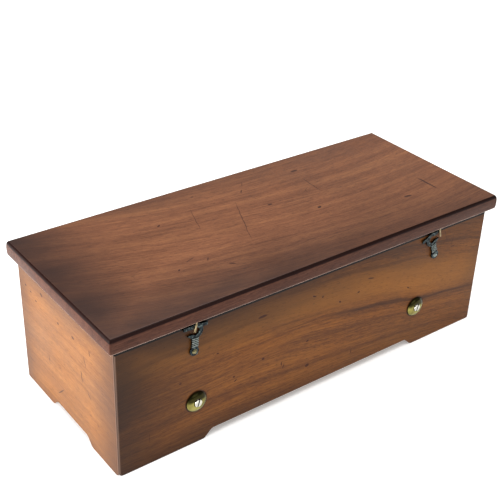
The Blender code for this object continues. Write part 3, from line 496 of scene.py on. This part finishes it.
def worn_metal(name, stops, spot, gloss, dark_reflection=None):
    """A metal whose colour and gloss wander over spots of a size in millimetres. gloss is its least
    and its greatest roughness. dark_reflection is two heights in mm between which the metal is painted
    darker, a painted reflection, and its colour."""
    finish, tree, shader = new_material(name)
    place = add(tree, "TexCoord", out="Object")
    cloud = streaks_of(tree, place, spot, spot, 3.0)
    tint = add(tree, "ValToRGB", [cloud], stops=stops)
    # painted reflection: the metal is painted darker between two heights
    if dark_reflection:
        low, high, code = dark_reflection
        height = add(tree, "SeparateXYZ", [shaken(tree, place, *REFLECTION_SHAKE)], "Z")
        share = add(tree, "MapRange", (height, low * MM, high * MM, 0.0, 0.92), **SOFTLY)
        tint = add(tree, "Mix", {FACTOR: share, FIRST: tint, SECOND: colour(code)}, **BLEND)
    tree.links.new(tint, shader.inputs["Base Color"])
    shader.inputs["Metallic"].default_value = 1.0
    rough = add(tree, "MapRange", (cloud, 0.3, 0.7, gloss[1], gloss[0]))
    tree.links.new(rough, shader.inputs["Roughness"])
    fine = streaks_of(tree, place, FINE_SPOT, FINE_SPOT)
    bump = add(tree, "Bump", {"Height": fine, "Strength": 0.04, "Distance": 0.05 * MM})
    tree.links.new(bump, shader.inputs["Normal"])
    return finish


# the upper half of each cup washer painted dark, a painted reflection
CUP_DARK_REFLECTION = (49.0, 52.5, "#17150A")
aged_brass_with_painted_reflection = worn_metal("aged brass with a painted reflection", [(0.3, "#57522A"), (0.7, "#968F4E")], 9, (0.14, 0.28), CUP_DARK_REFLECTION)
old_wire = worn_metal("dull brass wire", [(0.3, "#6E6246"), (0.7, "#A9987A")], 3, (0.25, 0.40))
clock_brass = worn_metal("lacquered clock brass", [(0.3, "#A98B4C"), (0.7, "#CBAF72")], 30, (0.24, 0.38))
polished_steel = worn_metal("polished steel", [(0.3, "#A8A79C"), (0.7, "#D6D5CB")], 5, (0.12, 0.22))
comb_steel = worn_metal("tempered steel", [(0.3, "#9C9EA1"), (0.7, "#C4C6C8")], 20, (0.25, 0.38))
blued_steel = worn_metal(
    "blued steel", [(0.38, "#121619"), (0.55, "#293133"), (0.72, "#66726F")], 2.5, (0.28, 0.42))
filed_steel = worn_metal(
    "filed steel, worn bright", [(0.35, "#565F5C"), (0.65, "#A0A8A3")], 1.5, (0.24, 0.36))
dull_brass = worn_metal("dull brass", [(0.35, "#544F36"), (0.65, "#8E8663")], 2, (0.24, 0.38))
slot_black = worn_metal("dirt in a slot", [(0.3, "#0B0A08"), (0.7, "#1C1914")], 1, (0.6, 0.8))
print("metals:", ", ".join(m.name for m in (
    aged_brass_with_painted_reflection, old_wire, clock_brass, polished_steel, comb_steel, blued_steel, filed_steel, dull_brass)))

# %% [markdown]
# ## Plain wood and card
# The inside is stained but not shaded, and the bottom board is bare softwood. The tune card is old
# card with a ruled border, which is two lines at fixed distances from the card's edge.

# %% Plain wood and card
inner_wood = stained_wood(
    "stained hardwood, inside", GRAIN_ORDER["face"], ("#3C2414", "#4C301C", "#5A3A24"), (0.1, 0.0),
    (0, 400, 10), (70, 400, 10), ("#2A160D", 0.2), 0.3)
floor_wood = stained_wood(
    "plain softwood", GRAIN_ORDER["lid"], ("#9C7A50", "#B08E60", "#C2A274"), (0.1, 0.0),
    (0, 400, 10), (0, 400, 10), ("#9C7A50", 0.2), 0.2)
CARD_HALF_LENGTH, CARD_HALF_WIDTH = 70, 45  # all in mm
CARD_LINES = ((5, 0.5), (7.5, 0.25))  # how far in from the edge, and half the line's width
INK_BROWN = "#5B3A2A"
card_finish, tree, shader = new_material("old card with a ruled border")
place = add(tree, "TexCoord", out="Object")
age = streaks_of(tree, place, 30, 30, 4.0)
tint = add(tree, "ValToRGB", [age], stops=[(0.3, "#CDBB90"), (0.7, "#E2D6B4")])
over_x, over_y = beyond_border(tree, CARD_HALF_LENGTH, CARD_HALF_WIDTH)[:2]
nearest = add(tree, "Math", (over_x, over_y), operation="MAXIMUM")
for inset, half_width in CARD_LINES:
    line = add(tree, "Math", (nearest, -inset * MM, half_width * MM), operation="COMPARE")
    ink = add(tree, "Math", (line, 0.8), operation="MULTIPLY")
    tint = add(tree, "Mix", {FACTOR: ink, FIRST: tint, SECOND: colour(INK_BROWN)}, **BLEND)
tree.links.new(tint, shader.inputs["Base Color"])
shader.inputs["Roughness"].default_value = 0.75
print("plain wood and card ready")

# %% [markdown]
# ## Turned and raised shapes
# A cup washer, a screw head or a brass tube is turned in a lathe, and the lid's edge is cut with a
# moulding plane. All could be a profile spun or swept by a modifier. They are drawn like clay on a
# wheel instead: one flat face is extruded upwards in short steps, and each step is scaled to the next
# width of the profile, so that the same few lines serve a circle and a rectangle.


# %% Raise and turn
def clear_selection():
    bpy.ops.object.select_all(action="DESELECT")


def start_edit(piece):
    bpy.context.view_layer.objects.active = piece
    bpy.ops.object.mode_set(mode="EDIT")
    bpy.ops.mesh.select_all(action="SELECT")


def raise_steps(piece, steps):
    """Extrudes a flat piece through (x scale, y scale, height) steps, each measured from the start."""
    start_edit(piece)
    scale_x, scale_y, height = 1.0, 1.0, 0.0
    for next_x, next_y, next_height in steps:
        move = {"value": (0, 0, next_height - height)}
        bpy.ops.mesh.extrude_region_move(TRANSFORM_OT_translate=move)
        bpy.ops.transform.resize(value=(next_x / scale_x, next_y / scale_y, 1),
                                 center_override=(0, 0, next_height))
        scale_x, scale_y, height = next_x, next_y, next_height
    bpy.ops.mesh.select_all(action="SELECT")
    bpy.ops.mesh.normals_make_consistent(inside=False)
    bpy.ops.object.mode_set(mode="OBJECT")


def bake_place(piece):
    """Moves an object's place into its mesh, as the loaded nodes have it."""
    bpy.context.view_layer.update()
    piece.data.transform(piece.matrix_world)
    piece.matrix_world = Matrix()


def turned(name, profile, sides=40):
    """A solid of revolution about Z from (radius, height) points, lowest first, in mm."""
    clear_selection()
    first, base = profile[0]
    bpy.ops.mesh.primitive_circle_add(vertices=sides, radius=first * MM, fill_type="NGON")
    piece = bpy.context.object
    piece.name = name
    raise_steps(piece, [(r / first, r / first, (z - base) * MM) for r, z in profile[1:]])
    piece.location.z = base * MM
    bake_place(piece)
    return piece


def put(piece, columns, origin):
    """Turns a piece's X, Y and Z to three directions and moves it to a point."""
    turn = Matrix(columns).transposed().to_4x4()
    piece.data.transform(Matrix.Translation(origin) @ turn)


print("raising and turning ready")

# %% [markdown]
# ## Eased copies
# A board or plate from the working model only needs its sharp edges eased. A real edge is never
# perfectly sharp, and the narrow bevel is what catches the light. The loaded mesh must not change,
# so a cleaned copy gets the bevel and stands for it.


# %% Copy, ease and hand over
SAME_POINT = 0.002 * MM  # points closer than this are merged
FLAT_ANGLE = 1.5  # faces that differ by fewer degrees than this are merged


def apply_modifiers(piece):
    clear_selection()
    piece.select_set(True)
    bpy.context.view_layer.objects.active = piece
    for step in list(piece.modifiers):
        bpy.ops.object.modifier_apply(modifier=step.name)


def soften(piece, angle=40):
    """Shades a piece smoothly across edges of less than an angle in degrees."""
    clear_selection()
    piece.select_set(True)
    bpy.context.view_layer.objects.active = piece
    bpy.ops.object.shade_smooth_by_angle(angle=math.radians(angle))


def finish_piece(piece, body, finish, slot, *nodes):
    """Gives a piece its finish and body, and hides the nodes that it stands for. slot is not used."""
    if finish:
        piece.data.materials.clear()
        piece.data.materials.append(finish)
    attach(piece, body)
    if nodes:
        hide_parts(*nodes)


def node_copy(node, name):
    """A clean copy of a node: its doubled points merged and its flat areas made whole."""
    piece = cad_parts[node].copy()
    piece.data = piece.data.copy()
    piece.name = name
    for key in list(piece.keys()):
        del piece[key]
    piece.parent = None
    piece.matrix_world = Matrix()
    bpy.context.scene.collection.objects.link(piece)
    start_edit(piece)
    bpy.ops.mesh.remove_doubles(threshold=SAME_POINT)
    bpy.ops.mesh.dissolve_limited(angle_limit=math.radians(FLAT_ANGLE))
    bpy.ops.mesh.select_all(action="SELECT")
    bpy.ops.mesh.normals_make_consistent(inside=False)
    bpy.ops.object.mode_set(mode="OBJECT")
    return piece


def eased(node, body, finish, slot, width, segments=2, angle=32):
    """A copy of a node with its sharp edges bevelled by a width in millimetres."""
    clear_selection()
    piece = node_copy(node, node + "_eased")
    bevel = piece.modifiers.new("ease", "BEVEL")
    bevel.width = width * MM
    bevel.segments = segments
    bevel.limit_method = "ANGLE"
    bevel.angle_limit = math.radians(angle)
    bevel.use_clamp_overlap = True
    bevel.harden_normals = False
    apply_modifiers(piece)
    soften(piece)
    level = piece.modifiers.new("level", "WEIGHTED_NORMAL")  # keeps the broad faces flat in the light
    level.keep_sharp = True
    apply_modifiers(piece)
    finish_piece(piece, body, finish, slot, node)


print("easing ready")

# %% [markdown]
# ## Cutting and joining
# A slot is sawn and a mortise is chopped, so both are cut with a block that is then thrown away.


# %% Cut and join
def drill(piece, cutter):
    """Cuts one piece with another and removes the cutter."""
    hole = piece.modifiers.new("drill", "BOOLEAN")
    hole.object = cutter
    hole.operation = "DIFFERENCE"
    apply_modifiers(piece)
    bpy.data.objects.remove(cutter, do_unlink=True)


def box_between(name, low, high):
    """A block from its lowest to its highest corner, in metres."""
    clear_selection()
    middle = (Vector(low) + Vector(high)) / 2
    bpy.ops.mesh.primitive_cube_add(size=1, location=middle, scale=Vector(high) - Vector(low))
    piece = bpy.context.object
    piece.name = name
    bake_place(piece)
    return piece


def join(pieces, name):
    """Makes one object of several."""
    clear_selection()
    for piece in pieces:
        piece.select_set(True)
    bpy.context.view_layer.objects.active = pieces[0]
    bpy.ops.object.join()
    pieces[0].name = name
    return pieces[0]


print("cutting ready")

# %% [markdown]
# ## The case boards
# Four boards meet in mitres at the corners, and their feet are sawn out of them. Sandpaper has
# taken the edge off every arris, so each board is a copy with narrow rounded edges. The long boards
# take the wood whose grain runs along X, the ends take the one whose grain runs along Y.

# %% Boards
SANDED, SAWN = 0.7, 0.5  # the widths of the eased edges, in mm
for board in ("front_board", "back_board"):
    eased(board, "case", front_wood, "stained_wood", SANDED)
for board in ("left_end_board", "right_end_board"):
    eased(board, "case", end_wood, "stained_wood", SANDED)
for wall in ("left_partition", "right_partition"):
    eased(wall, "case", inner_wood, "stained_wood", SAWN)
eased("bottom_board", "case", floor_wood, "plain_wood", SAWN)
print("boards eased")

# %% [markdown]
# ## The lid
# The lid is one board with a moulded edge: a crisp lower arris, a broad bulge and a tight turn onto
# the top, with mitred-looking corners. The profile is raised from the underside in steps, each a
# little wider or narrower than the one before. The hinges' leaves and knuckles need room in it, so
# a mortise and a round hollow for each are cut last.

# %% Lid
low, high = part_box("lid_board")
half_length, half_depth = high[0], high[1]
ALONG_X = ((0, 1, 0), (0, 0, 1), (1, 0, 0))  # lays a turned piece down along X
LID_PROFILE = [  # how far in from the widest line, and height above the underside, in mm
    (1.5, 0.25), (0.8, 0.8), (0.35, 1.7), (0.1, 3.6), (0.0, 6.5), (0.0, 9.5), (0.15, 11.8), (0.45, 13.4),
    (0.9, 14.5), (1.5, 15.3), (2.2, 15.8), (3.0, 16.0),
]
UNDERSIDE_INSET = 2.3
CORNER_ROUNDING = 1.1
HINGE_AXIS_HEIGHT, LEAF_TO_AXIS = 138, 2.5  # the axis lies this far in front of the leaf's rear edge
KNUCKLE_ROOM, KNUCKLE_END_ROOM = 3.1, 0.6  # a radius, and the spare length at each end
LEAF_ROOM, LEAF_OVERHANG, MORTISE_DEPTH = 0.4, 2, 1.5
TOP_FACE = 0.93  # a face whose normal is this upright is the lid's flat top or underside
clear_selection()
bpy.ops.mesh.primitive_plane_add(size=1, location=(0, 0, 0))
lid = bpy.context.object
lid.name = "moulded_lid"
start_x = 2 * (half_length - UNDERSIDE_INSET * MM)
start_y = 2 * (half_depth - UNDERSIDE_INSET * MM)
lid.scale = (start_x, start_y, 1)
bake_place(lid)
steps = []
for inset, rise in LID_PROFILE:
    wide, deep = 2 * (half_length - inset * MM), 2 * (half_depth - inset * MM)
    steps.append((wide / start_x, deep / start_y, rise * MM))
raise_steps(lid, steps)
lid.data.transform(Matrix.Translation((0, 0, low[2])))
corner = lid.modifiers.new("corners", "BEVEL")
corner.width = CORNER_ROUNDING * MM
corner.segments = 3
corner.limit_method = "ANGLE"
corner.angle_limit = math.radians(60)
apply_modifiers(lid)
for side in ("left", "right"):
    leaf_low, leaf_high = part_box(f"hinge_{side}_lid_leaf")
    space = LEAF_ROOM * MM
    mortise_low = (leaf_low[0] - space, leaf_low[1] - space, low[2] - MM)
    mortise_high = (leaf_high[0] + space, leaf_high[1] - LEAF_OVERHANG * MM, low[2] + MORTISE_DEPTH * MM)
    drill(lid, box_between("mortise", mortise_low, mortise_high))
    ends = (leaf_low[0] / MM - KNUCKLE_END_ROOM, leaf_high[0] / MM + KNUCKLE_END_ROOM)
    knuckle = turned("knuckle_room", [(KNUCKLE_ROOM, end) for end in ends], 24)
    axis_y = leaf_high[1] - LEAF_TO_AXIS * MM
    put(knuckle, ALONG_X, (0, axis_y, HINGE_AXIS_HEIGHT * MM))
    drill(lid, knuckle)
soften(lid, 50)
lid.data.materials.clear()
lid.data.materials.append(lid_wood)
lid.data.materials.append(lid_edge_wood)
for face in lid.data.polygons:
    face.material_index = 0 if abs(face.normal.z) > TOP_FACE else 1
finish_piece(lid, "lid", None, "stained_wood", "lid_board")
print("lid", [round(2 * h / MM, 1) for h in (half_length, half_depth)], "mm")

# %% [markdown]
# ## Cup washers and case screws
# A cup washer is pressed from brass sheet into a low dome with a well in the middle for the screw's
# head. The screw is polished and has one saw-cut slot, painted near-black inside. Both are turned
# shapes, raised ring by ring, and the slot is cut with a thin block.

# %% Cup washers and case screws
# Both profiles are (radius, height above the board), in mm.
CUP = [(10.2, 0.0), (10.75, 0.25), (10.7, 0.7), (10.2, 1.25), (9.3, 1.9), (8.0, 2.55), (6.6, 3.0),
       (5.4, 3.18), (4.75, 3.2), (4.4, 3.0), (4.3, 2.4), (4.25, 1.5), (2.4, 1.3)]
HEAD = [(2.0, 1.85), (3.9, 1.85), (4.0, 2.1), (4.0, 3.45), (3.85, 3.8), (3.4, 4.0), (1.5, 4.05)]
SLOT_TURN = math.radians(-17)
CUP_SLOT = (0.65, 6, 3.0, 6)  # half width, half length, floor and top of the block that saws it
CUP_SLOT_TOP = 3.9
SLOT_DEPTH, SLOT_REACH = 1, 3.0  # the near-black finish lies this far below a slot's top and this far from its middle


def sawn_slot(half_width, half_length, floor_height, top, turn):
    """A thin upright block, in mm and radians, that saws a slot."""
    slot = box_between("slot", (-half_width * MM, -half_length * MM, floor_height * MM),
                       (half_width * MM, half_length * MM, top * MM))
    slot.data.transform(Matrix.Rotation(turn, 4, "Z"))
    return slot


def blacken_slot(head, top):
    """Gives the faces of a head's slot the near-black finish, and all others the steel. top is in mm."""
    head.data.materials.clear()
    head.data.materials.append(polished_steel)
    head.data.materials.append(slot_black)
    # the faces inside the slot are painted near-black
    for face in head.data.polygons:
        middle = face.center / MM
        in_slot = top - SLOT_DEPTH < middle.z < top and math.hypot(middle.x, middle.y) < SLOT_REACH
        face.material_index = 1 if in_slot else 0


OUTWARD = {"front": ((1, 0, 0), (0, 0, 1), (0, -1, 0)), "rear": ((-1, 0, 0), (0, 0, 1), (0, 1, 0))}
for end, columns in OUTWARD.items():
    for side in ("left", "right"):
        node = f"cup_{end}_{side}"
        node_low, node_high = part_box(node)
        middle = (Vector(node_low) + Vector(node_high)) / 2
        seat = node_high[1] if end == "front" else node_low[1]
        origin = (middle.x, seat, middle.z)
        cup = turned(f"domed_{node}", CUP, 64)
        put(cup, columns, origin)
        soften(cup, 35)
        finish_piece(cup, "case", aged_brass_with_painted_reflection, "brass", node)
        head = turned(f"slotted_head_{end}_{side}", HEAD, 40)
        drill(head, sawn_slot(*CUP_SLOT, SLOT_TURN))
        blacken_slot(head, CUP_SLOT_TOP)
        put(head, columns, origin)
        soften(head, 35)
        finish_piece(head, "case", None, "steel", f"case_screw_{end}_{side}")
print("cup washers and screws done")

# %% [markdown]
# ## Hooks and catches
# Each hook is stamped from sheet, filed round its edges, ribbed across its stem so that a finger
# can move it, and blued. It turns on a round-headed screw, and catches a bent wire under the lid.
# The ribs are small bars laid across the stem of an eased copy, turned with the hook.

# %% Hooks
# For each hook: its pivot's place along X in mm, its lean in degrees, and its screw's finish.
HOOKS = {"left": (-146, -3.0, dull_brass), "right": (151, 19.0, filed_steel)}
HOOK_EASING = 0.35
PIVOT_Z = 106.7
RIB_COUNT, FIRST_RIB, RIB_STEP = 5, 5.9, 1.9  # in mm above the pivot
RIB_HALF_WIDTH, RIB_HALF_HEIGHT, RIB_PROUD, RIB_SUNK, RIB_ROUNDING = 3.5, 0.5, 0.7, 0.3, 0.3
for side, (pivot_x, lean, pivot_finish) in HOOKS.items():
    node = f"latch_{side}_hook"
    front_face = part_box(node)[0][1]
    eased(node, f"{side}_hook", blued_steel, "blued_steel", HOOK_EASING)
    ribs = []
    for number in range(RIB_COUNT):
        up = FIRST_RIB + RIB_STEP * number
        low = (-RIB_HALF_WIDTH * MM, -RIB_PROUD * MM, (up - RIB_HALF_HEIGHT) * MM)
        high = (RIB_HALF_WIDTH * MM, RIB_SUNK * MM, (up + RIB_HALF_HEIGHT) * MM)
        rib = box_between("rib", low, high)
        shape = rib.modifiers.new("round", "BEVEL")
        shape.width = RIB_ROUNDING * MM
        apply_modifiers(rib)
        rib.data.transform(Matrix.Translation((pivot_x * MM, front_face, PIVOT_Z * MM))
                           @ Matrix.Rotation(math.radians(-lean), 4, "Y"))
        ribs.append(rib)
    finish_piece(join(ribs, f"hook_ribs_{side}"), f"{side}_hook", filed_steel, "blued_steel")
    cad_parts[f"latch_{side}_pivot_screw"].material_slots[0].material = pivot_finish
    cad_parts[f"latch_{side}_lid_catch"].material_slots[0].material = old_wire
print("hooks ribbed")

# %% [markdown]
# ## The movement
# The plates, posts and brackets are castings and filed bars, so they get eased edges too. Wheels,
# arbors and springs keep the working model's shape, since their teeth must stay in mesh, and so do
# the levers; all take new metal finishes.

# %% Movement finishes
FILED = 0.4  # the width of the eased edges, in mm
for node in ("bedplate", "comb_base", "cylinder_cock_left", "cylinder_cock_right", "barrel_cock_left",
             "barrel_cock_right", "governor_frame", "control_bracket"):
    eased(node, "case", clock_brass, "brass", FILED)
FINISHES = {
    clock_brass: ("cylinder_wheel", "barrel_cover", "barrel_great_wheel", "worm_wheel", "fly_fan",
                  "hinge_left_case_leaf", "hinge_right_case_leaf", "hinge_left_lid_leaf",
                  "hinge_right_lid_leaf", "hinge_left_pin", "hinge_right_pin"),
    comb_steel: ("comb", "cylinder_arbor", "barrel_arbor", "ratchet_wheel", "winding_lever",
                 "lever_pawl", "holding_click", "governor_arbor", "worm_spindle", "start_lever",
                 "change_lever"),
    blued_steel: ("mainspring",),
    inner_wood: ("lever_knob",),
    card_finish: ("tune_card",),
}
for finish, nodes in FINISHES.items():
    for node in nodes:
        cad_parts[node].material_slots[0].material = finish
print("movement finished:", sum(map(len, FINISHES.values())), "pieces keep their shape")

# %% [markdown]
# ## Cylinder and spring barrel
# Both are brass tubes turned in a lathe, closed at one end, with a fine groove cut near each end.
# The eye sees every flat on a bright round tube, so both are turned again here with many more sides,
# outer wall first and then back down the inside.

# %% Brass tubes
TUBE_SIDES = 96
CYLINDER_AXIS, BARREL_AXIS = (5, 84.5), (41, 84.5)  # along Y and Z, in mm
CYLINDER_RADIUS, BARREL_RADIUS = 26, 27
GROOVE_DEPTH, GROOVE_SLOPE, GROOVE_WIDTH = 0.35, 0.2, 0.6
GROOVE_FROM_CLOSED_END, GROOVE_FROM_OPEN_END = 2.2, 2.8


def grooved_tube(name, node, body, open_end, closed_end, radius, wall, disc, bore, axis):
    """A tube with one closed end, disc thick. All sizes are in mm, and the ends lie along X."""
    way = 1 if open_end > closed_end else -1
    profile = [(radius, closed_end)]
    groove_radius = radius - GROOVE_DEPTH
    for groove in (closed_end + way * GROOVE_FROM_CLOSED_END, open_end - way * GROOVE_FROM_OPEN_END):
        profile += [(radius, groove), (groove_radius, groove + way * GROOVE_SLOPE)]
        profile += [(groove_radius, groove + way * (GROOVE_WIDTH - GROOVE_SLOPE))]
        profile += [(radius, groove + way * GROOVE_WIDTH)]
    profile += [(radius, open_end), (radius - wall, open_end), (radius - wall, closed_end + way * disc)]
    profile += [(bore, closed_end + way * disc)]
    tube = turned(name, profile, TUBE_SIDES)
    put(tube, ALONG_X, (0, axis[0] * MM, axis[1] * MM))
    soften(tube, 35)
    finish_piece(tube, body, clock_brass, "brass", node)


grooved_tube("turned_cylinder", "cylinder", "cylinder", open_end=100, closed_end=-95,
             radius=CYLINDER_RADIUS, wall=2, disc=3, bore=3.3, axis=CYLINDER_AXIS)
grooved_tube("turned_barrel", "barrel_drum", "barrel", open_end=-160, closed_end=-112.5,
             radius=BARREL_RADIUS, wall=2, disc=1.7, bore=4.3, axis=BARREL_AXIS)
print("brass tubes turned with", TUBE_SIDES, "sides")

# %% [markdown]
# ## Comb screws
# Two cheese-headed screws hold the comb down. Each head is turned with a small chamfer and gets its
# saw-cut slot from a thin block, each at its own angle, as a hand with a screwdriver leaves it.

# %% Comb screws
# The profile is (radius, height above the floor), in mm.
SCREW_HEAD = [(2.0, 70.5), (2.0, 85.8), (3.6, 85.8), (3.6, 87.3), (3.2, 87.8), (1.5, 87.85)]
COMB_SLOT = (0.45, 5, 86.9, 90)  # as for the cups' screws
COMB_SLOT_TOP = 87.6
for number, lean in ((1, 25), (2, -40)):
    node_low, node_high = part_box(f"comb_screw_{number}")
    middle = (node_low[0] + node_high[0]) / 2, (node_low[1] + node_high[1]) / 2
    screw = turned(f"slotted_comb_screw_{number}", SCREW_HEAD, 28)
    drill(screw, sawn_slot(*COMB_SLOT, math.radians(lean)))
    blacken_slot(screw, COMB_SLOT_TOP)
    screw.data.transform(Matrix.Translation((*middle, 0)))
    soften(screw, 35)
    finish_piece(screw, "case", None, "steel", f"comb_screw_{number}")
print("comb screws slotted")

# %% [markdown]
# ## The cylinder's pins
# The tune is more than a thousand fine steel pins, set in rings, one ring under each tooth of the
# comb. They are drawn twice as thick as the real third of a millimetre, so that they show, and only
# half a millimetre high, so that they pass under the teeth. One tapered pin is raised from a
# five-sided disc and copied round the cylinder, with a fixed seed for the tune. Its copies are
# turned and moved into one mesh, because so many objects would be slow.

# %% Pins
TUNE_SEED = 7
PIN_PROFILE = [(0.38, -0.25), (0.36, 0.2), (0.28, 0.5)]  # radius and height above the cylinder, in mm
PINS_PER_RING = 26
FIRST_SLOT, LAST_SLOT, SLOT_STEP = 4, 116, 3  # the tune leaves a gap of a few degrees where it ends
PIN_SIDES = 5
COMB_TEETH = 60
comb_low, comb_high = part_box("comb")
tooth_pitch = (comb_high[0] - comb_low[0]) / COMB_TEETH
one_pin = turned("one_pin", PIN_PROFILE, PIN_SIDES)
axle = Vector((0, CYLINDER_AXIS[0] * MM, CYLINDER_AXIS[1] * MM))
dice = random.Random(TUNE_SEED)
corners, faces = [], []
for tooth in range(COMB_TEETH):
    across = comb_low[0] + (tooth + 0.5) * tooth_pitch
    for slot in sorted(dice.sample(range(FIRST_SLOT, LAST_SLOT), PINS_PER_RING)):
        angle = math.radians(180 + SLOT_STEP * slot)
        outward = Vector((0, math.cos(angle), math.sin(angle)))
        foot = axle + Vector((across, 0, 0)) + outward * CYLINDER_RADIUS * MM
        turn = outward.to_track_quat("Z", "Y").to_matrix()
        first = len(corners)
        corners += [foot + turn @ corner.co for corner in one_pin.data.vertices]
        faces += [[first + number for number in face.vertices] for face in one_pin.data.polygons]
one_pin.data.clear_geometry()
one_pin.data.from_pydata(corners, [], faces)
one_pin.name = "cylinder_pins"
finish_piece(one_pin, "cylinder", blued_steel, "steel")
print("pins:", COMB_TEETH * PINS_PER_RING)
